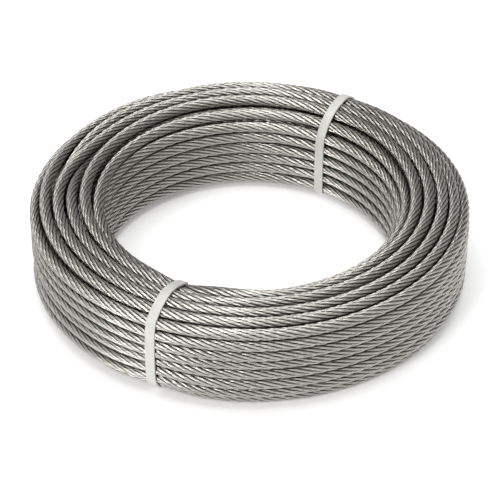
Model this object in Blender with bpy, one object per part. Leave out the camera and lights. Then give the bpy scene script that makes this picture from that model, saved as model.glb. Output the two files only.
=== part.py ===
"""A hand coil of stranded steel wire rope, held by two nylon cable ties.

The coil lies flat with its axis along +Z and its origin on the floor, on that axis. Its wound turns
are one turned solid: each turn of rope that lies on the outside of the coil is a rounded ring on
it. Each tie is a strap looped round the coil's section, with its head on the side that is hidden
from the front. All sizes are in metres.
"""

import math

import bmesh
import bpy

# The rope and the way it is wound.
ROPE_DIAMETER = 0.006
LAYERS = 6
ROWS = 8
BORE_RADIUS = 0.070
SECTION_POWER = 4.3

# How finely the turns are drawn.
AZIMUTH_STEPS = 48
CREST_HALF_ANGLE = math.radians(20)
FLANK_HALF_ANGLE = math.radians(60)
CREST_DIRECTION_STEP = math.radians(15)

# The ties: a strap that bites into the turns, and a head with the cut tail standing out of it.
TIE_WIDTH = 0.0048
TIE_THICKNESS = 0.0013
TIE_BITE = 0.0009
TIE_LOOP_POINTS = 48
HEAD_LENGTH = 0.0085
HEAD_WIDTH = 0.0078
HEAD_DEPTH = 0.0055
HEAD_BEVEL = 0.0007
TAIL_STUB = 0.0022
FRONT_TIE_AZIMUTH = math.radians(244.7)
BACK_TIE_AZIMUTH = math.radians(60)

# The room between pieces that touch, and between a strap and the floor under it.
CLEARANCE = 0.0003
FLOOR_CLEARANCE = 0.0002

SECTION_WIDTH = LAYERS * ROPE_DIAMETER
SECTION_HEIGHT = ROWS * ROPE_DIAMETER
SECTION_RADIUS = BORE_RADIUS + SECTION_WIDTH / 2


def make_material(name, colour, roughness, metallic):
    """A plain Principled material in a piece's own colour."""
    material = bpy.data.materials.new(name)
    material.use_nodes = True
    shader = material.node_tree.nodes["Principled BSDF"]
    shader.inputs["Base Color"].default_value = (*colour, 1)
    shader.inputs["Roughness"].default_value = roughness
    shader.inputs["Metallic"].default_value = metallic
    return material


def superellipse(half_width, half_height, count):
    """Points at equal steps along a rounded rectangle, each with its outward normal.

    The first point lies half a step past the middle of the lower side, so that an even count is
    alike on both sides of the middle. The points run counterclockwise, X to the right, Z up.
    """
    samples = 4000
    dense = []
    for index in range(samples + 1):
        angle = 2 * math.pi * index / samples - math.pi / 2
        cosine, sine = math.cos(angle), math.sin(angle)
        x = half_width * math.copysign(abs(cosine) ** (2 / SECTION_POWER), cosine)
        z = half_height * math.copysign(abs(sine) ** (2 / SECTION_POWER), sine)
        dense.append((x, z))
    lengths = [0.0]
    for before, after in zip(dense, dense[1:]):
        lengths.append(lengths[-1] + math.dist(before, after))

    loop = []
    index = 0
    for number in range(count):
        target = (number + 0.5) * lengths[-1] / count
        while lengths[index + 1] < target:
            index += 1
        share = (target - lengths[index]) / (lengths[index + 1] - lengths[index])
        x = dense[index][0] + share * (dense[index + 1][0] - dense[index][0])
        z = dense[index][1] + share * (dense[index + 1][1] - dense[index][1])
        slope_x = math.copysign(abs(x / half_width) ** (SECTION_POWER - 1), x) / half_width
        slope_z = math.copysign(abs(z / half_height) ** (SECTION_POWER - 1), z) / half_height
        size = math.hypot(slope_x, slope_z)
        loop.append(((x, z), (slope_x / size, slope_z / size)))
    return loop


def superellipse_length(half_width, half_height):
    """The length of a rounded rectangle's outline."""
    points = [point for point, normal in superellipse(half_width, half_height, 400)]
    return sum(math.dist(points[index - 1], points[index]) for index in range(len(points)))


def link_mesh(name, bm, material=None):
    """Turn a bmesh with its faces pointing out into an object of the scene."""
    bmesh.ops.recalc_face_normals(bm, faces=bm.faces)
    mesh = bpy.data.meshes.new(name)
    bm.to_mesh(mesh)
    bm.free()
    if material:
        mesh.materials.append(material)
    piece = bpy.data.objects.new(name, mesh)
    bpy.context.scene.collection.objects.link(piece)
    return piece


def make_tool(piece):
    """Mark an object as one that only cuts or joins another."""
    piece.hide_render = True
    piece.display_type = "WIRE"
    return piece


def add_boolean(piece, tool, operation):
    """Cut a tool from a piece, or join it on."""
    modifier = piece.modifiers.new(f"{operation.title()} {tool.name}", "BOOLEAN")
    modifier.operation = operation
    modifier.object = tool
    modifier.solver = "EXACT"


def coil_profile():
    """The outline of the coil's section: a flat crest and two flanks for each outside turn."""
    half_width = (SECTION_WIDTH - ROPE_DIAMETER) / 2
    half_height = (SECTION_HEIGHT - ROPE_DIAMETER) / 2
    turns = 2 * round(superellipse_length(half_width, half_height) / ROPE_DIAMETER / 2)
    radius = ROPE_DIAMETER / 2 / math.cos(CREST_HALF_ANGLE)
    offsets = (-FLANK_HALF_ANGLE, -CREST_HALF_ANGLE, CREST_HALF_ANGLE, FLANK_HALF_ANGLE)
    profile = []
    for (x, z), (normal_x, normal_z) in superellipse(half_width, half_height, turns):
        steps = round(math.atan2(normal_z, normal_x) / CREST_DIRECTION_STEP)
        for offset in offsets:
            angle = steps * CREST_DIRECTION_STEP + offset
            profile.append((x + radius * math.cos(angle), z + radius * math.sin(angle)))
    lowest = min(z for x, z in profile)
    return [(SECTION_RADIUS + x, z - lowest) for x, z in profile]


def make_coil(material):
    """The wound rope as one turned solid, with a rounded ring for each turn on its outside."""
    bm = bmesh.new()
    rim = [bm.verts.new((x, 0, z)) for x, z in reversed(coil_profile())]
    for index in range(len(rim)):
        bm.edges.new((rim[index - 1], rim[index]))
    mesh = bpy.data.meshes.new("wire_rope_coil")
    bm.to_mesh(mesh)
    bm.free()
    mesh.materials.append(material)
    coil = bpy.data.objects.new("wire_rope_coil", mesh)
    bpy.context.scene.collection.objects.link(coil)

    screw = coil.modifiers.new("Turn the section", "SCREW")
    screw.axis = "Z"
    screw.angle = 2 * math.pi
    screw.steps = AZIMUTH_STEPS
    screw.render_steps = AZIMUTH_STEPS
    screw.use_merge_vertices = True
    screw.merge_threshold = 0.00001
    return coil


def tie_loop():
    """The strap's inner face round the section, flush with the coil's underside at the floor."""
    low = TIE_THICKNESS + FLOOR_CLEARANCE
    high = SECTION_HEIGHT - TIE_BITE
    loop = superellipse(SECTION_WIDTH / 2 - TIE_BITE, (high - low) / 2, TIE_LOOP_POINTS)
    middle = (high + low) / 2
    return [((x, z + middle), normal) for (x, z), normal in loop]


def make_band(name, inner_offset, outer_offset, width, material=None):
    """A closed band round the section, between two offsets from the strap's inner face."""
    bm = bmesh.new()
    rings = []
    for offset, y in (
        (inner_offset, -width / 2),
        (outer_offset, -width / 2),
        (outer_offset, width / 2),
        (inner_offset, width / 2),
    ):
        rings.append(
            [
                bm.verts.new((x + offset * normal_x, y, z + offset * normal_z))
                for (x, z), (normal_x, normal_z) in tie_loop()
            ]
        )
    for ring, after in zip(rings, rings[1:] + rings[:1]):
        for index in range(len(ring)):
            bm.faces.new((ring[index - 1], ring[index], after[index], after[index - 1]))
    return link_mesh(name, bm, material)


def make_block(name, low, high, bevel=0.0):
    """A block between two corners, its edges bevelled."""
    bm = bmesh.new()
    bmesh.ops.create_cube(bm, size=1)
    for vertex in bm.verts:
        vertex.co = [
            (start + end) / 2 + place * (end - start)
            for place, start, end in zip(vertex.co, low, high)
        ]
    if bevel:
        bmesh.ops.bevel(bm, geom=bm.edges[:], offset=bevel, segments=1, affect="EDGES")
    return link_mesh(name, bm)


def make_tie(name, azimuth, side, coil, material):
    """A cable tie round the section. side is +1 with its head outside the coil, -1 in the bore."""
    strap = make_band(name, 0, TIE_THICKNESS, TIE_WIDTH, material)
    seat = make_band(
        f"{name}_seat", -CLEARANCE, ROPE_DIAMETER, TIE_WIDTH + 2 * CLEARANCE
    )
    # A flat facet of the bore stands proud of the bore's own radius at its middle.
    facet_rise = BORE_RADIUS * (1 - math.cos(math.pi / AZIMUTH_STEPS))
    near = SECTION_WIDTH / 2 + facet_rise + CLEARANCE
    far = near + HEAD_DEPTH
    middle = SECTION_HEIGHT / 2
    head = make_block(
        f"{name}_head",
        (min(side * near, side * far), -HEAD_WIDTH / 2, middle - HEAD_LENGTH / 2),
        (max(side * near, side * far), HEAD_WIDTH / 2, middle + HEAD_LENGTH / 2),
        HEAD_BEVEL,
    )
    root = SECTION_WIDTH / 2 - TIE_BITE + TIE_THICKNESS / 4
    tip = far + TAIL_STUB
    tail = make_block(
        f"{name}_tail",
        (min(side * root, side * tip), -TIE_WIDTH / 2, middle - TIE_THICKNESS / 2),
        (max(side * root, side * tip), TIE_WIDTH / 2, middle + TIE_THICKNESS / 2),
    )
    place = (SECTION_RADIUS * math.cos(azimuth), SECTION_RADIUS * math.sin(azimuth), 0)
    for piece in (strap, seat, head, tail):
        piece.location = place
        piece.rotation_euler = (0, 0, azimuth)
    for tool in (seat, head, tail):
        make_tool(tool)
    add_boolean(strap, head, "UNION")
    add_boolean(strap, tail, "UNION")
    add_boolean(coil, seat, "DIFFERENCE")
    return strap


for old in list(bpy.data.objects):
    bpy.data.objects.remove(old)

steel = make_material("Bright drawn steel wire", (0.42, 0.41, 0.39), 0.35, 1.0)
nylon = make_material("Natural nylon", (0.66, 0.66, 0.63), 0.45, 0.0)

wire_rope_coil = make_coil(steel)
make_tie("cable_tie_front", FRONT_TIE_AZIMUTH, -1, wire_rope_coil, nylon)
make_tie("cable_tie_back", BACK_TIE_AZIMUTH, 1, wire_rope_coil, nylon)
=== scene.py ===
import math

import bmesh
import bpy
import numpy as np
from mathutils import Matrix, Vector


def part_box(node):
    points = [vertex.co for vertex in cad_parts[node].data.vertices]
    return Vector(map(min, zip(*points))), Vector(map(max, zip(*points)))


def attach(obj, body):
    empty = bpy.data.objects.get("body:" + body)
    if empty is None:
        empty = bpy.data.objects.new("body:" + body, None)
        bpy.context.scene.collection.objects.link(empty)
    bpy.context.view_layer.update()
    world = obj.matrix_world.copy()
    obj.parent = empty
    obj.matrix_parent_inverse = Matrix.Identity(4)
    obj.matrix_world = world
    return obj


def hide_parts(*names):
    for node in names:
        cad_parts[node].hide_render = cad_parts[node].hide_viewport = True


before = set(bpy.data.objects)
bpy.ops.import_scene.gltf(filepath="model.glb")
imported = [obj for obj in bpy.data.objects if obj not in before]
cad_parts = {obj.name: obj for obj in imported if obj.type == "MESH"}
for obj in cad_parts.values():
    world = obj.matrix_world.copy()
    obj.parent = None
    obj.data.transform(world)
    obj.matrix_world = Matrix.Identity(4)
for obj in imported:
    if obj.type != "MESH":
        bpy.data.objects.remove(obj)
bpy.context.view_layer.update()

# The photograph's camera: a long lens from the front, looking 36 degrees down at the coil. It aims a
# little below the coil's middle, because the photograph has more floor in front than behind.
camera_elevation = math.radians(36.2)
camera_distance = 1.028
coil_middle = Vector((0, 0, 0.0235))
aim_below_middle = 0.00955
view_back = Vector((0, -math.cos(camera_elevation), math.sin(camera_elevation)))
view_up = Vector((0, math.sin(camera_elevation), math.cos(camera_elevation)))
camera_data = bpy.data.cameras.new("Photograph camera")
camera_data.sensor_width = 36
camera_data.lens = 151.8
camera = bpy.data.objects.new("Photograph camera", camera_data)
camera.location = coil_middle + camera_distance * view_back
aim = coil_middle - aim_below_middle * view_up
camera.rotation_euler = (aim - camera.location).to_track_quat("-Z", "Y").to_euler()
bpy.context.scene.collection.objects.link(camera)
bpy.context.scene.camera = camera

# The wire rope: 6 mm steel wire rope of eight strands laid right-handed, each of a core wire and six
# outer wires. It is wound by hand into six layers, the first on the bore and the last outside. It goes
# up the first layer, down the second and so on, and each turn steps over to the next place.
rope_lay = 0.044
strands = 8
points_per_strand = 7

# The rope is drawn 5.7 mm thick in places of 6 mm, so that the gaps between its turns show.
place_size = 0.006
rope_diameter = 0.0057
strand_radius = 0.143 * rope_diameter
strand_off_centre = 0.357 * rope_diameter

# The coil holds 44 places, and the rope ends a ninth of the way round the last one. The outer wall
# tucks in at the floor, the layers within it less so, and the fifth layer is short.
bore_radius = 0.070
layer_rows = (7, 8, 8, 8, 5, 8)
outer_layer = len(layer_rows) - 1
lowest_place_height = (0.0052, 0.003, 0.003, 0.003, 0.0177, 0.003)
row_pitch = (0.0060, 0.0060, 0.0060, 0.0060, 0.0059, 0.00535)
wall_tuck = 0.55
wall_tuck_height = 0.008
wall_tuck_fading = 1.5

# Where the six uppermost turns lie at the front, the right, the back and the left of the coil, as
# radius and height in millimetres. The top of the coil leans back, so they lie further out there.
top_turns = {
    6: ((73.0, 39.6), (75.4, 40.0), (79.3, 40.0), (73.0, 40.2)),
    7: ((79.3, 45.0), (80.4, 44.8), (85.4, 43.8), (78.8, 45.0)),
    22: ((85.6, 45.0), (86.3, 45.0), (91.3, 44.8), (85.4, 45.1)),
    23: ((91.7, 44.0), (92.4, 44.6), (97.0, 44.9), (92.5, 45.0)),
    35: ((97.0, 42.9), (98.5, 42.6), (102.0, 41.2), (98.9, 43.8)),
    36: ((101.6, 40.2), (102.8, 38.4), (103.2, 36.0), (103.3, 38.6)),
}
# The turns below them lean back by 3.5 mm at a height of 39 mm and less the lower they lie, down to
# none at 21 mm. Those on the bore and the outer wall lean less.
lean = 0.0035
lean_start_height = 0.021
lean_rise = 0.018
lean_power = 1.5
wall_lean_share = 0.4

# The turns are counted from the azimuth of the rope's inner end. The first one steps over to the next
# place at its own azimuth, and each later one a little earlier. The outer end is hidden at the back.
rope_start_azimuth = math.radians(-10)
rope_end_azimuth = math.radians(30)
first_step_azimuth = math.radians(295)
step_earlier = math.radians(6)
step_length = math.radians(40)
azimuths_per_turn = 120
turn_count = sum(layer_rows)
rope_end = round(
    (turn_count - 1 + (rope_end_azimuth - rope_start_azimuth) / (2 * math.pi)) * azimuths_per_turn
)


def place_of_turn(number, azimuth):
    """Radius and height of one of the coil's places, along a row of azimuths."""
    layer = 0
    row = number
    while row >= layer_rows[layer]:
        row -= layer_rows[layer]
        layer += 1
    if layer % 2:
        row = layer_rows[layer] - 1 - row
    if number in top_turns:
        front, right, back, left = np.array(top_turns[number]) / 1000
        mean = (front + right + back + left) / 4
        oval = (front + back - right - left) / 4
        return (
            mean
            + (back - front) / 2 * np.sin(azimuth)[:, None]
            + (right - left) / 2 * np.cos(azimuth)[:, None]
            - oval * np.cos(2 * azimuth)[:, None]
        )
    height = lowest_place_height[layer] + row_pitch[layer] * row
    tuck = wall_tuck * max(0.0, wall_tuck_height - height) * (layer / outer_layer) ** wall_tuck_fading
    radius = bore_radius + place_size * (layer + 0.5) - tuck
    leaned = lean * max(0.0, (height - lean_start_height) / lean_rise) ** lean_power
    if layer in (0, outer_layer):
        leaned *= wall_lean_share
    return np.stack(
        [radius + leaned * (1 + np.sin(azimuth)) / 2, np.full_like(azimuth, height)], -1
    )


# Each turn wanders a little, because it was wound by hand: in waves, so many to a turn, of which the
# shorter ones are smaller.
wander = 0.00042
wander_waves = (1.35, 2.3, 3.6, 5.2)
wander_fading = 0.6
wander_seed = 11

# Then the turns settle, in small steps: those that press into each other part, and the rope stays
# smooth and near its places. It stays under the coil's top and inside the tucked wall, and its lowest
# turns lie a little off the bore's edge.
settling_steps = 120
pressed_diameter = 0.96 * rope_diameter
smallest_distance = 1e-9
parting = 0.35
smoothing = 0.25
drawing_back = 0.03
highest_centre = 0.0452
outermost_centre = bore_radius + 5.55 * place_size
bore_edge_height = 0.006
bore_edge_slope = 0.3


def wind_the_rope():
    """Radius and height of the rope at each azimuth of each turn."""
    turned = 2 * math.pi * np.arange(azimuths_per_turn) / azimuths_per_turn
    azimuth = rope_start_azimuth + turned
    target = np.zeros((turn_count, azimuths_per_turn, 2))
    for turn in range(turn_count):
        here = place_of_turn(turn, azimuth)
        there = place_of_turn(min(turn + 1, turn_count - 1), azimuth)
        start = first_step_azimuth - rope_start_azimuth - turn * step_earlier - step_length / 2
        share = np.clip((turned - start) / step_length, 0, 1)[:, None]
        eased = share**3 * (share * (6 * share - 15) + 10)
        target[turn] = here + eased * (there - here)
    line = target.reshape(-1, 2)
    along = np.arange(len(line)) / azimuths_per_turn
    draws = np.random.default_rng(wander_seed)
    for waves in wander_waves:
        for axis in (0, 1):
            size = wander / waves**wander_fading
            line[:, axis] += size * np.sin(2 * math.pi * (waves * along + draws.random()))

    laid = (np.arange(len(line)) < rope_end).reshape(turn_count, azimuths_per_turn, 1)
    every = np.arange(turn_count)
    placed = target.copy()
    for _ in range(settling_steps):
        apart = placed[:, None] - placed[None]
        distance = np.linalg.norm(apart, axis=-1, keepdims=True) + smallest_distance
        overlap = np.clip(pressed_diameter - distance, 0, None) * laid[:, None] * laid[None]
        overlap[every, every] = 0
        placed = placed + parting * (overlap / distance * apart).sum(1)
        line = placed.reshape(-1, 2)
        line[1:-1] += smoothing * (line[:-2] + line[2:] - 2 * line[1:-1])
        placed = placed + drawing_back * (target - placed)
        height = np.clip(placed[..., 1], rope_diameter / 2, highest_centre)
        off_bore = bore_edge_slope * np.clip(bore_edge_height - height, 0, None)
        tuck = wall_tuck * np.clip(wall_tuck_height - height, 0, None)
        low = bore_radius + place_size / 2 + off_bore
        radius = np.clip(placed[..., 0], low, outermost_centre - tuck)
        placed = np.stack([radius, height], -1)
    return placed.reshape(-1, 2)[: rope_end + 1]


wound_rope = wind_the_rope()


def tie_azimuth(node):
    """The azimuth of a cable tie's strap, from the middle of its box."""
    low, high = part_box(node)
    return math.atan2((low.y + high.y) / 2, (low.x + high.x) / 2)


# The ties pull the turns together, most at the section's corners, and the lowest turns lie on their
# straps. The front tie is the tighter one.
tie_azimuths = {node: tie_azimuth(node) for node in ("cable_tie_front", "cable_tie_back")}
section_half = place_size * np.array([len(layer_rows), max(layer_rows)]) / 2
section_middle = np.array([bore_radius, 0]) + section_half
squeeze = 0.02
corner_squeeze = {"cable_tie_front": 0.09, "cable_tie_back": 0.02}
squeeze_width = math.radians(9)
strap_thickness = 0.0012
strap_clearance = 0.0003
rope_azimuth = rope_start_azimuth + 2 * math.pi * np.arange(len(wound_rope)) / azimuths_per_turn
for node, azimuth in tie_azimuths.items():
    off = np.angle(np.exp(1j * (rope_azimuth - azimuth)))
    near = np.exp(-((off / squeeze_width) ** 2))
    from_middle = wound_rope - section_middle
    to_corner = (from_middle / section_half)[:, ::-1] ** 2
    wound_rope -= near[:, None] * (squeeze + corner_squeeze[node] * to_corner) * from_middle
    floor_height = rope_diameter / 2 + (strap_thickness + strap_clearance) * near
    wound_rope[:, 1] = np.maximum(wound_rope[:, 1], floor_height)


def along_the_rope(wound, turns):
    """Points of the rope at the given numbers of turns from its start, on a smooth curve."""
    position = np.clip(turns * azimuths_per_turn, 0, len(wound) - 1)
    index = np.minimum(position.astype(int), len(wound) - 2)
    share = (position - index)[:, None]
    before = wound[np.maximum(index - 1, 0)]
    start = wound[index]
    end = wound[index + 1]
    after = wound[np.minimum(index + 2, len(wound) - 1)]
    cubic = 3 * (start - end) + after - before
    square = 2 * before - 5 * start + 4 * end - after
    place = start + 0.5 * share * (end - before + share * (square + share * cubic))
    azimuth = rope_start_azimuth + 2 * math.pi * turns
    return np.stack(
        [place[:, 0] * np.cos(azimuth), place[:, 0] * np.sin(azimuth), place[:, 1]], -1
    )


def out_of_groove(wound, points):
    """How far points on the rope lie out of the groove between their own turn and the next one."""
    azimuth = np.arctan2(points[:, 1], points[:, 0])
    position = (azimuth - rope_start_azimuth) / (2 * math.pi) % 1.0 * azimuths_per_turn
    index = position.astype(int)
    share = (position - index)[:, None, None]
    places = index[:, None] + azimuths_per_turn * np.arange(turn_count)
    before = wound[np.minimum(places, len(wound) - 1)]
    after = wound[np.minimum(places + 1, len(wound) - 1)]
    centres = before + share * (after - before)
    across = np.stack([np.hypot(points[:, 0], points[:, 1]), points[:, 2]], -1)[:, None]
    distance = np.linalg.norm(centres - across, axis=-1)
    distance[places >= len(wound)] = np.inf
    own, other = np.argpartition(distance, 1, axis=1)[:, :2].T
    every = np.arange(len(points))
    between = np.linalg.norm(centres[every, own] - centres[every, other], axis=-1)
    return distance[every, other] - between / 2


def add_node(tree, kind, settings=None, links=None):
    """A node with its settings and links. A setting that isn't the node's own is an input's value."""
    node = tree.nodes.new(kind)
    for name, value in (settings or {}).items():
        if isinstance(name, str) and hasattr(node, name):
            setattr(node, name, value)
        else:
            node.inputs[name].default_value = value
    for name, source in (links or {}).items():
        tree.links.new(source, node.inputs[name])
    return node


def laid_rope_tree():
    """Sweeps a ring of strands along a line and turns it with the lay."""
    tree = bpy.data.node_groups.new("Laid wire rope", "GeometryNodeTree")
    tree.interface.new_socket("Line", in_out="INPUT", socket_type="NodeSocketGeometry")
    for name in ("Strand radius", "Strand off centre", "Lay length", "Start length"):
        tree.interface.new_socket(name, in_out="INPUT", socket_type="NodeSocketFloat")
    for name in ("Strands", "Points per strand"):
        tree.interface.new_socket(name, in_out="INPUT", socket_type="NodeSocketInt")
    tree.interface.new_socket("Wire", in_out="INPUT", socket_type="NodeSocketMaterial")
    tree.interface.new_socket("Rope", in_out="OUTPUT", socket_type="NodeSocketGeometry")
    given = add_node(tree, "NodeGroupInput").outputs

    # The section: a ring of circles. "Around" runs once round each of them, from its inner side.
    strand = add_node(
        tree,
        "GeometryNodeCurvePrimitiveCircle",
        links={"Resolution": given["Points per strand"], "Radius": given["Strand radius"]},
    )
    factor = add_node(tree, "GeometryNodeSplineParameter").outputs["Factor"]
    kept_around = add_node(
        tree, "GeometryNodeCaptureAttribute", links={"Geometry": strand.outputs["Curve"]}
    )
    kept_around.capture_items.new("FLOAT", "Around")
    tree.links.new(factor, kept_around.inputs["Around"])
    ring = add_node(
        tree,
        "GeometryNodeCurvePrimitiveCircle",
        links={"Resolution": given["Strands"], "Radius": given["Strand off centre"]},
    )
    turned_in = add_node(
        tree,
        "ShaderNodeMapRange",
        {"To Min": math.pi, "To Max": 3 * math.pi},
        {"Value": factor},
    )
    facing = add_node(
        tree, "ShaderNodeCombineXYZ", links={"Z": turned_in.outputs["Result"]}
    )
    placed = add_node(
        tree,
        "GeometryNodeInstanceOnPoints",
        links={
            "Points": ring.outputs["Curve"],
            "Instance": kept_around.outputs["Geometry"],
            "Rotation": facing.outputs["Vector"],
        },
    )
    section = add_node(
        tree, "GeometryNodeRealizeInstances", links={"Geometry": placed.outputs["Instances"]}
    )

    # The line of the rope, with the section turned a full turn in each lay length.
    curve = add_node(tree, "GeometryNodeMeshToCurve", links={"Mesh": given["Line"]})
    upright = add_node(
        tree, "GeometryNodeSetCurveNormal", {"mode": "Z_UP"}, {"Curve": curve.outputs["Curve"]}
    )
    run = add_node(
        tree,
        "ShaderNodeMath",
        {"operation": "ADD"},
        {
            0: add_node(tree, "GeometryNodeSplineParameter").outputs["Length"],
            1: given["Start length"],
        },
    )
    lays = add_node(
        tree, "ShaderNodeMath", {"operation": "DIVIDE"}, {0: run.outputs[0], 1: given["Lay length"]}
    )
    twist = add_node(
        tree, "ShaderNodeMath", {"operation": "MULTIPLY", 1: 2 * math.pi}, {0: lays.outputs[0]}
    )
    twisted = add_node(
        tree,
        "GeometryNodeSetCurveTilt",
        links={"Curve": upright.outputs["Curve"], "Tilt": twist.outputs[0]},
    )
    kept_run = add_node(
        tree, "GeometryNodeCaptureAttribute", links={"Geometry": twisted.outputs["Curve"]}
    )
    kept_run.capture_items.new("FLOAT", "Run")
    tree.links.new(run.outputs[0], kept_run.inputs["Run"])
    swept = add_node(
        tree,
        "GeometryNodeCurveToMesh",
        {"Fill Caps": True},
        {"Curve": kept_run.outputs["Geometry"], "Profile Curve": section.outputs["Geometry"]},
    )
    layout = add_node(
        tree,
        "ShaderNodeCombineXYZ",
        links={"X": kept_around.outputs["Around"], "Y": kept_run.outputs["Run"]},
    )
    stored = add_node(
        tree,
        "GeometryNodeStoreNamedAttribute",
        {"data_type": "FLOAT2", "domain": "CORNER", "Name": "Lay"},
        {"Geometry": swept.outputs["Mesh"], "Value": layout.outputs["Vector"]},
    )
    realized = add_node(
        tree, "GeometryNodeRealizeInstances", links={"Geometry": stored.outputs["Geometry"]}
    )
    finished = add_node(
        tree,
        "GeometryNodeSetMaterial",
        links={"Geometry": realized.outputs["Geometry"], "Material": given["Wire"]},
    )
    add_node(tree, "NodeGroupOutput", links={"Rope": finished.outputs["Geometry"]})
    return tree


def grown_mesh(name, line_mesh, tree, values):
    """The plain mesh that a Geometry Nodes tree makes of a line."""
    grower = bpy.data.objects.new(name + "_line", line_mesh)
    bpy.context.scene.collection.objects.link(grower)
    modifier = grower.modifiers.new(tree.name, "NODES")
    modifier.node_group = tree
    sockets = {item.name: item.identifier for item in tree.interface.items_tree}
    for label, value in values.items():
        modifier[sockets[label]] = value
    depsgraph = bpy.context.evaluated_depsgraph_get()
    mesh = bpy.data.meshes.new_from_object(grower.evaluated_get(depsgraph), depsgraph=depsgraph)
    mesh.name = name
    grower.modifiers.remove(modifier)
    bpy.data.objects.remove(grower)
    return mesh


def line_of(points, closed=False):
    """A mesh of edges through a row of points."""
    line = bpy.data.meshes.new("line")
    edges = [(index, index + 1) for index in range(len(points) - 1)]
    if closed:
        edges.append((len(points) - 1, 0))
    line.from_pydata(points.tolist(), edges, [])
    return line


def linear(hex_colour):
    """An sRGB hex colour as linear red, green, blue and alpha."""
    channels = [int(hex_colour[place : place + 2], 16) / 255 for place in (1, 3, 5)]
    return tuple(
        value / 12.92 if value <= 0.04045 else ((value + 0.055) / 1.055) ** 2.4
        for value in channels
    ) + (1.0,)


# Galvanised drawn steel wire: cold drawing leaves it bright with a soft sheen. Its colour is darkened
# with painted shade in the grooves between its wires, its strands and its turns.
worn_wire = "#b3afa9"
bright_wire = "#d2cfca"
# The dark colour of the painted shade in the grooves.
painted_groove_shade = "#1e1c1a"
wires_round = 6
wire_lay = 0.019
wire_relief = 0.00013
wear_patch = 0.0111
# How much of the wire's brightness the painted shade leaves in each kind of groove, and where the
# grooves are: up to a share of a wire's height, between two shares of the way round a strand from its
# crest, and between two distances out of the groove between turns.
wire_groove_tone = 0.7
wire_groove_height = 0.6
strand_groove_tone = 0.24
strand_groove_start = 0.17
strand_groove_full = 0.24
turn_groove_tone = 0.1
turn_groove_full = 0.00045
turn_groove_end = 0.00105
steel = bpy.data.materials.new("Bright galvanised drawn steel wire")
steel.use_nodes = True
tree = steel.node_tree
shader = tree.nodes["Principled BSDF"]
shader.inputs["Metallic"].default_value = 1.0
shader.inputs["Roughness"].default_value = 0.28
lay_uv = add_node(tree, "ShaderNodeUVMap", {"uv_map": "Lay"})
lay = add_node(tree, "ShaderNodeSeparateXYZ", links={"Vector": lay_uv.outputs["UV"]})
# The wires lie along the rope while their strand winds round it, so they turn the other way in it.
wire_run = add_node(
    tree,
    "ShaderNodeMath",
    {"operation": "MULTIPLY", 1: wires_round * math.pi / wire_lay},
    {0: lay.outputs["Y"]},
)
wire_phase = add_node(
    tree,
    "ShaderNodeMath",
    {"operation": "MULTIPLY_ADD", 1: wires_round * math.pi},
    {0: lay.outputs["X"], 2: wire_run.outputs[0]},
)
wire_wave = add_node(tree, "ShaderNodeMath", {"operation": "SINE"}, {0: wire_phase.outputs[0]})
wire_height = add_node(
    tree, "ShaderNodeMath", {"operation": "ABSOLUTE"}, {0: wire_wave.outputs[0]}
)
bump = add_node(
    tree,
    "ShaderNodeBump",
    {"Strength": 1.0, "Distance": wire_relief},
    {"Height": wire_height.outputs[0]},
)
tree.links.new(bump.outputs["Normal"], shader.inputs["Normal"])
# Painted shade between the wires, where the bump casts no shadow of its own.
wire_tone = add_node(
    tree,
    "ShaderNodeMapRange",
    {"From Min": 0.0, "From Max": wire_groove_height, "To Min": wire_groove_tone, "To Max": 1.0},
    {"Value": wire_height.outputs[0]},
)
# Painted shade in the grooves between the strands.
off_crest = add_node(
    tree, "ShaderNodeMath", {"operation": "SUBTRACT", 1: 0.5}, {0: lay.outputs["X"]}
)
from_crest = add_node(
    tree, "ShaderNodeMath", {"operation": "ABSOLUTE"}, {0: off_crest.outputs[0]}
)
strand_tone = add_node(
    tree,
    "ShaderNodeMapRange",
    {
        "From Min": strand_groove_start,
        "From Max": strand_groove_full,
        "To Min": 1.0,
        "To Max": strand_groove_tone,
    },
    {"Value": from_crest.outputs[0]},
)
# Painted shade in the grooves between the turns.
out_of_turns = add_node(tree, "ShaderNodeAttribute", {"attribute_name": "Out of groove"})
turn_tone = add_node(
    tree,
    "ShaderNodeMapRange",
    {
        "From Min": turn_groove_full,
        "From Max": turn_groove_end,
        "To Min": turn_groove_tone,
        "To Max": 1.0,
    },
    {"Value": out_of_turns.outputs["Fac"]},
)
groove_tone = add_node(
    tree,
    "ShaderNodeMath",
    {"operation": "MULTIPLY"},
    {0: wire_tone.outputs["Result"], 1: strand_tone.outputs["Result"]},
)
tone = add_node(
    tree,
    "ShaderNodeMath",
    {"operation": "MULTIPLY"},
    {0: groove_tone.outputs[0], 1: turn_tone.outputs["Result"]},
)
wear = add_node(
    tree,
    "ShaderNodeTexNoise",
    {"Scale": 1 / wear_patch, "Detail": 3.0},
    {"Vector": add_node(tree, "ShaderNodeTexCoord").outputs["Object"]},
)
bright = add_node(
    tree,
    "ShaderNodeMix",
    {"data_type": "RGBA", 6: linear(worn_wire), 7: linear(bright_wire)},
    {0: wear.outputs["Fac"]},
)
# The painted shade's colour is mixed in where the grooves leave little of the wire's brightness.
colour = add_node(
    tree,
    "ShaderNodeMix",
    {"data_type": "RGBA", 6: linear(painted_groove_shade)},
    {0: tone.outputs[0], 7: bright.outputs[2]},
)
tree.links.new(colour.outputs[2], shader.inputs["Base Color"])

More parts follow.
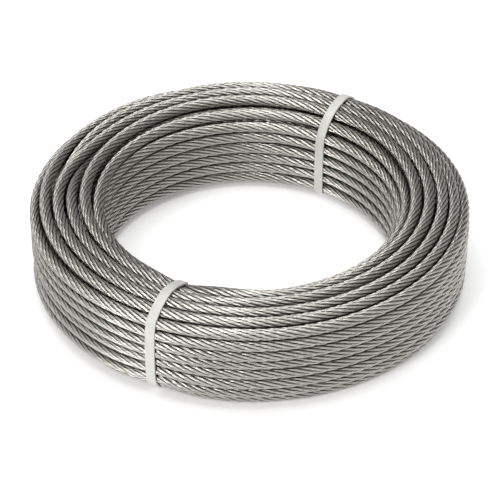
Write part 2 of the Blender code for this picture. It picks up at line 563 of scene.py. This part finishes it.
# Turns that show are drawn with short steps, and turns inside the coil with long ones. Those of the
# first and last layers show, and in each other layer the three upper ones and the two lower ones.
fine_step = 0.0027
coarse_step = 0.0060
upper_rows_shown = 3
lower_rows_shown = 2
closest_marks = 0.002
rope_tree = laid_rope_tree()
rope_length = 0.0
first_turn = 0
for layer, rows in enumerate(layer_rows):
    next_turn = first_turn + rows
    last = layer == outer_layer
    marks = []
    for number in range(first_turn, next_turn):
        above = number - first_turn if layer % 2 else next_turn - 1 - number
        below = rows - 1 - above
        shows = layer == 0 or last or above < upper_rows_shown or below < lower_rows_shown
        reach = bore_radius + place_size * (layer + 0.5)
        steps = round(2 * math.pi * reach / (fine_step if shows else coarse_step))
        marks.append(number + np.arange(steps) / steps)
    marks = np.concatenate(marks)
    end = rope_end / azimuths_per_turn if last else next_turn
    marks = np.append(marks[marks < end - closest_marks], end)
    first_turn = next_turn
    points = along_the_rope(wound_rope, marks)
    length = float(np.linalg.norm(np.diff(points, axis=0), axis=1).sum())
    name = f"rope_layer_{layer + 1}"
    mesh = grown_mesh(
        name,
        line_of(points),
        rope_tree,
        {
            "Strand radius": strand_radius,
            "Strand off centre": strand_off_centre,
            "Lay length": rope_lay,
            "Start length": rope_length,
            "Strands": strands,
            "Points per strand": points_per_strand,
            "Wire": steel,
        },
    )
    corners = np.zeros(len(mesh.vertices) * 3, np.float32)
    mesh.vertices.foreach_get("co", corners)
    # How far each point lies out of the groove between turns, which places the painted shade there.
    groove = mesh.attributes.new("Out of groove", "FLOAT", "POINT")
    groove.data.foreach_set(
        "value", out_of_groove(wound_rope, corners.reshape(-1, 3)).astype(np.float32)
    )
    # The last face round a strand runs on past 1 instead of back to 0.
    layout = mesh.attributes["Lay"]
    values = np.zeros(len(layout.data) * 2, np.float32)
    layout.data.foreach_get("vector", values)
    values = values.reshape(-1, 2)
    starts = np.zeros(len(mesh.polygons), int)
    mesh.polygons.foreach_get("loop_start", starts)
    sizes = np.zeros(len(mesh.polygons), int)
    mesh.polygons.foreach_get("loop_total", sizes)
    quads = starts[sizes == 4][:, None] + np.arange(4)
    around = values[quads, 0]
    seam = (np.ptp(around, axis=1) > 0.5)[:, None] & (around < 0.5)
    values[quads[seam], 0] += 1.0
    layout.data.foreach_set("vector", values.ravel())
    piece = bpy.data.objects.new(name, mesh)
    bpy.context.scene.collection.objects.link(piece)
    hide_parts("wire_rope_coil")
    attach(piece, "root")
    rope_length += length

# The cable ties: natural nylon, moulded in one piece, 4.8 mm wide. Each is pulled taut round the coil's
# section, its tail goes out through the head and is cut off short. The heads are where the photograph
# hides them: the front tie's in the bore, the back tie's on the outer wall.
strap_width = 0.0048
strap_rounding = 0.0004
head_length = 0.0085
head_width = 0.0078
head_depth = 0.0052
head_bevel = 0.0006
slot_width = 0.0054
slot_height = 0.0021
# The tail lies near the slot's lower side, and the pawl over it holds it. The pawl is rooted in the
# head over the slot.
tail_below_middle = 0.0009
tail_stub = 0.0020
pawl_width = 0.0036
pawl_from_strap = 0.0012
pawl_from_mouth = 0.0004
pawl_root = 0.0002
small_bevel = 0.0002
smooth_angle = math.radians(35)

# Natural nylon 6.6: moulded smooth and left uncoloured, it is milky and lets a little light into
# itself, which softens its edges.
milky_nylon = "#bcbcb8"
clear_nylon = "#cfcfcb"
cloud_size = 0.00625
nylon = bpy.data.materials.new("Natural nylon 6.6")
nylon.use_nodes = True
tree = nylon.node_tree
shader = tree.nodes["Principled BSDF"]
shader.inputs["Roughness"].default_value = 0.42
shader.inputs["Subsurface Weight"].default_value = 0.5
shader.inputs["Subsurface Radius"].default_value = (1.0, 1.0, 0.95)
shader.inputs["Subsurface Scale"].default_value = 0.001
cloud = add_node(
    tree,
    "ShaderNodeTexNoise",
    {"Scale": 1 / cloud_size, "Detail": 2.0},
    {"Vector": add_node(tree, "ShaderNodeTexCoord").outputs["Object"]},
)
milk = add_node(
    tree,
    "ShaderNodeMix",
    {"data_type": "RGBA", 6: linear(milky_nylon), 7: linear(clear_nylon)},
    {0: cloud.outputs["Fac"]},
)
tree.links.new(milk.outputs[2], shader.inputs["Base Color"])


def strap_tree():
    """Sweeps a flat section with rounded edges round a flat loop."""
    tree = bpy.data.node_groups.new("Cable tie strap", "GeometryNodeTree")
    tree.interface.new_socket("Line", in_out="INPUT", socket_type="NodeSocketGeometry")
    for name in ("Width", "Thickness", "Rounding"):
        tree.interface.new_socket(name, in_out="INPUT", socket_type="NodeSocketFloat")
    tree.interface.new_socket("Across", in_out="INPUT", socket_type="NodeSocketVector")
    tree.interface.new_socket("Nylon", in_out="INPUT", socket_type="NodeSocketMaterial")
    tree.interface.new_socket("Strap", in_out="OUTPUT", socket_type="NodeSocketGeometry")
    given = add_node(tree, "NodeGroupInput").outputs
    flat = add_node(
        tree,
        "GeometryNodeCurvePrimitiveQuadrilateral",
        links={"Width": given["Width"], "Height": given["Thickness"]},
    )
    rounded = add_node(
        tree,
        "GeometryNodeFilletCurve",
        {"mode": "POLY", "Count": 3},
        {"Curve": flat.outputs["Curve"], "Radius": given["Rounding"]},
    )
    loop = add_node(tree, "GeometryNodeMeshToCurve", links={"Mesh": given["Line"]})
    level = add_node(
        tree,
        "GeometryNodeSetCurveNormal",
        {"mode": "FREE"},
        {"Curve": loop.outputs["Curve"], "Normal": given["Across"]},
    )
    swept = add_node(
        tree,
        "GeometryNodeCurveToMesh",
        links={"Curve": level.outputs["Curve"], "Profile Curve": rounded.outputs["Curve"]},
    )
    realized = add_node(
        tree, "GeometryNodeRealizeInstances", links={"Geometry": swept.outputs["Mesh"]}
    )
    finished = add_node(
        tree,
        "GeometryNodeSetMaterial",
        links={"Geometry": realized.outputs["Geometry"], "Material": given["Nylon"]},
    )
    add_node(tree, "NodeGroupOutput", links={"Strap": finished.outputs["Geometry"]})
    return tree


def add_frame(bm, low, high, slot_low, slot_high, bevel):
    """A block with a slot through it along X, all its edges bevelled."""
    loops = []
    for x in (low[0], high[0]):
        for (y0, z0), (y1, z1) in ((low[1:], high[1:]), (slot_low, slot_high)):
            corners = ((y0, z0), (y1, z0), (y1, z1), (y0, z1))
            loops.append([bm.verts.new((x, y, z)) for y, z in corners])
    # Faces join the loops in pairs: at the near end, at the far end, outside and in the slot.
    faces = []
    for first, second in ((0, 1), (3, 2), (2, 0), (1, 3)):
        for index in range(4):
            pair = loops[first][index - 1], loops[first][index]
            other = loops[second][index], loops[second][index - 1]
            faces.append(bm.faces.new((*pair, *other)))
    # The edges that only divide the flat ends aren't bevelled.
    flat = math.radians(1)
    edges = {edge for face in faces for edge in face.edges if edge.calc_face_angle() > flat}
    bmesh.ops.bevel(bm, geom=list(edges), offset=bevel, segments=2, affect="EDGES")


def add_block(bm, low, high, bevel):
    """A block between two corners, its edges bevelled."""
    corners = bmesh.ops.create_cube(bm, size=1)["verts"]
    for vertex in corners:
        vertex.co = [
            (start + end) / 2 + place * (end - start)
            for place, start, end in zip(vertex.co, low, high)
        ]
    edges = {edge for vertex in corners for edge in vertex.link_edges}
    bmesh.ops.bevel(bm, geom=list(edges), offset=bevel, segments=2, affect="EDGES")


# The strap's middle is taut round all the turns: in each direction it lies on the outermost one. Then
# its corners are rounded off step by step, because stiff nylon bends in wide curves.
strap_directions = 120
rounding_steps = 25
tie_tree = strap_tree()
for node, side in (("cable_tie_front", -1), ("cable_tie_back", 1)):
    azimuth = tie_azimuths[node]
    sample = (azimuth - rope_start_azimuth) / (2 * math.pi) % 1.0 + np.arange(turn_count)
    centres = along_the_rope(wound_rope, sample[sample < rope_end / azimuths_per_turn])
    centres = np.stack([np.hypot(centres[:, 0], centres[:, 1]), centres[:, 2]], -1)
    angles = 2 * math.pi * np.arange(strap_directions) / strap_directions
    outward = np.stack([np.cos(angles), np.sin(angles)], -1)
    outermost = centres[(centres @ outward.T).argmax(0)]
    ring = outermost + (rope_diameter / 2 + strap_thickness / 2) * outward
    for _ in range(rounding_steps):
        neighbours = (np.roll(ring, 1, 0) + np.roll(ring, -1, 0)) / 2
        ring = (ring + neighbours) / 2
    turned_to = Matrix.Rotation(azimuth, 3, "Z")
    across = turned_to @ Vector((0, 1, 0))
    points = np.array([turned_to @ Vector((radius, 0, height)) for radius, height in ring])
    strap = grown_mesh(
        node + "_strap",
        line_of(points, closed=True),
        tie_tree,
        {
            "Width": strap_width,
            "Thickness": strap_thickness,
            "Rounding": strap_rounding,
            "Across": across,
            "Nylon": nylon,
        },
    )
    # The head, the tail and the pawl are made standing out along X, then turned to the tie's place.
    wall = (side * ring[:, 0]).max() + strap_thickness / 2
    middle = section_middle[1]
    tail_low = middle - tail_below_middle
    tail_high = tail_low + strap_thickness
    bm = bmesh.new()
    add_frame(
        bm,
        (wall, -head_width / 2, middle - head_length / 2),
        (wall + head_depth, head_width / 2, middle + head_length / 2),
        (-slot_width / 2, middle - slot_height / 2),
        (slot_width / 2, middle + slot_height / 2),
        head_bevel,
    )
    add_block(
        bm,
        (wall - strap_thickness / 2, -strap_width / 2, tail_low),
        (wall + head_depth + tail_stub, strap_width / 2, tail_high),
        small_bevel,
    )
    add_block(
        bm,
        (wall + pawl_from_strap, -pawl_width / 2, tail_high),
        (wall + head_depth - pawl_from_mouth, pawl_width / 2, middle + slot_height / 2 + pawl_root),
        small_bevel,
    )
    bmesh.ops.transform(bm, matrix=Matrix.Diagonal((side, 1, 1, 1)), verts=bm.verts)
    bmesh.ops.transform(bm, matrix=Matrix.Rotation(azimuth, 4, "Z"), verts=bm.verts)
    bm.from_mesh(strap)
    bmesh.ops.recalc_face_normals(bm, faces=bm.faces)
    mesh = bpy.data.meshes.new(node + "_detail")
    bm.to_mesh(mesh)
    bm.free()
    mesh.materials.append(nylon)
    mesh.shade_smooth()
    mesh.set_sharp_from_angle(angle=smooth_angle)
    tie = bpy.data.objects.new(node + "_detail", mesh)
    bpy.context.scene.collection.objects.link(tie)
    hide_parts(node)
    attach(tie, "root")

# The floor: a sheet of matt white studio paper, lit from above. It glows a little itself, so that it
# is pure white as in the photograph and only the coil's soft shadow shows on it.
floor_half = 3.0
paper_glow = 0.18
floor_mesh = bpy.data.meshes.new("floor")
floor_mesh.from_pydata(
    [
        (-floor_half, -floor_half, 0),
        (floor_half, -floor_half, 0),
        (floor_half, floor_half, 0),
        (-floor_half, floor_half, 0),
    ],
    [],
    [(0, 1, 2, 3)],
)
floor = bpy.data.objects.new("floor", floor_mesh)
bpy.context.scene.collection.objects.link(floor)
paper = bpy.data.materials.new("Matt white studio paper")
paper.use_nodes = True
shader = paper.node_tree.nodes["Principled BSDF"]
shader.inputs["Base Color"].default_value = linear("#fafafa")
shader.inputs["Roughness"].default_value = 0.9
shader.inputs["Emission Color"].default_value = linear("#ffffff")
shader.inputs["Emission Strength"].default_value = paper_glow
floor_mesh.materials.append(paper)

# The studio: a pale room that is darker to the left, the right and the back, and two soft boxes. The
# large one hangs over the coil, and the small one stands low at the front left.
world = bpy.data.worlds.new("Studio room")
world.use_nodes = True
tree = world.node_tree
direction = add_node(
    tree,
    "ShaderNodeSeparateXYZ",
    links={"Vector": add_node(tree, "ShaderNodeTexCoord").outputs["Generated"]},
)
aside = add_node(tree, "ShaderNodeMath", {"operation": "ABSOLUTE"}, {0: direction.outputs["X"]})
side_light = add_node(
    tree,
    "ShaderNodeMapRange",
    {"From Min": 0.25, "From Max": 0.8, "To Min": 0.71, "To Max": 0.38},
    {"Value": aside.outputs[0]},
)
back_light = add_node(
    tree,
    "ShaderNodeMapRange",
    {"From Min": 0.2, "From Max": 0.8, "To Min": 1.0, "To Max": 0.5},
    {"Value": direction.outputs["Y"]},
)
strength = add_node(
    tree,
    "ShaderNodeMath",
    {"operation": "MULTIPLY"},
    {0: side_light.outputs["Result"], 1: back_light.outputs["Result"]},
)
tree.links.new(strength.outputs[0], tree.nodes["Background"].inputs["Strength"])
tree.nodes["Background"].inputs["Color"].default_value = linear("#ffffff")
bpy.context.scene.world = world


def soft_light(name, place, size, power):
    """A soft box that looks at the coil."""
    data = bpy.data.lights.new(name, "AREA")
    data.shape = "RECTANGLE"
    data.size, data.size_y = size
    data.energy = power
    lamp = bpy.data.objects.new(name, data)
    lamp.location = place
    lamp.rotation_euler = (-Vector(place)).to_track_quat("-Z", "Y").to_euler()
    bpy.context.scene.collection.objects.link(lamp)


soft_light("Overhead soft box", place=(0.0, 0.25, 1.6), size=(1.6, 1.2), power=18)
soft_light("Front soft box", place=(-0.85, -1.15, 0.75), size=(0.5, 0.4), power=11)
bpy.context.scene.view_settings.view_transform = "Standard"
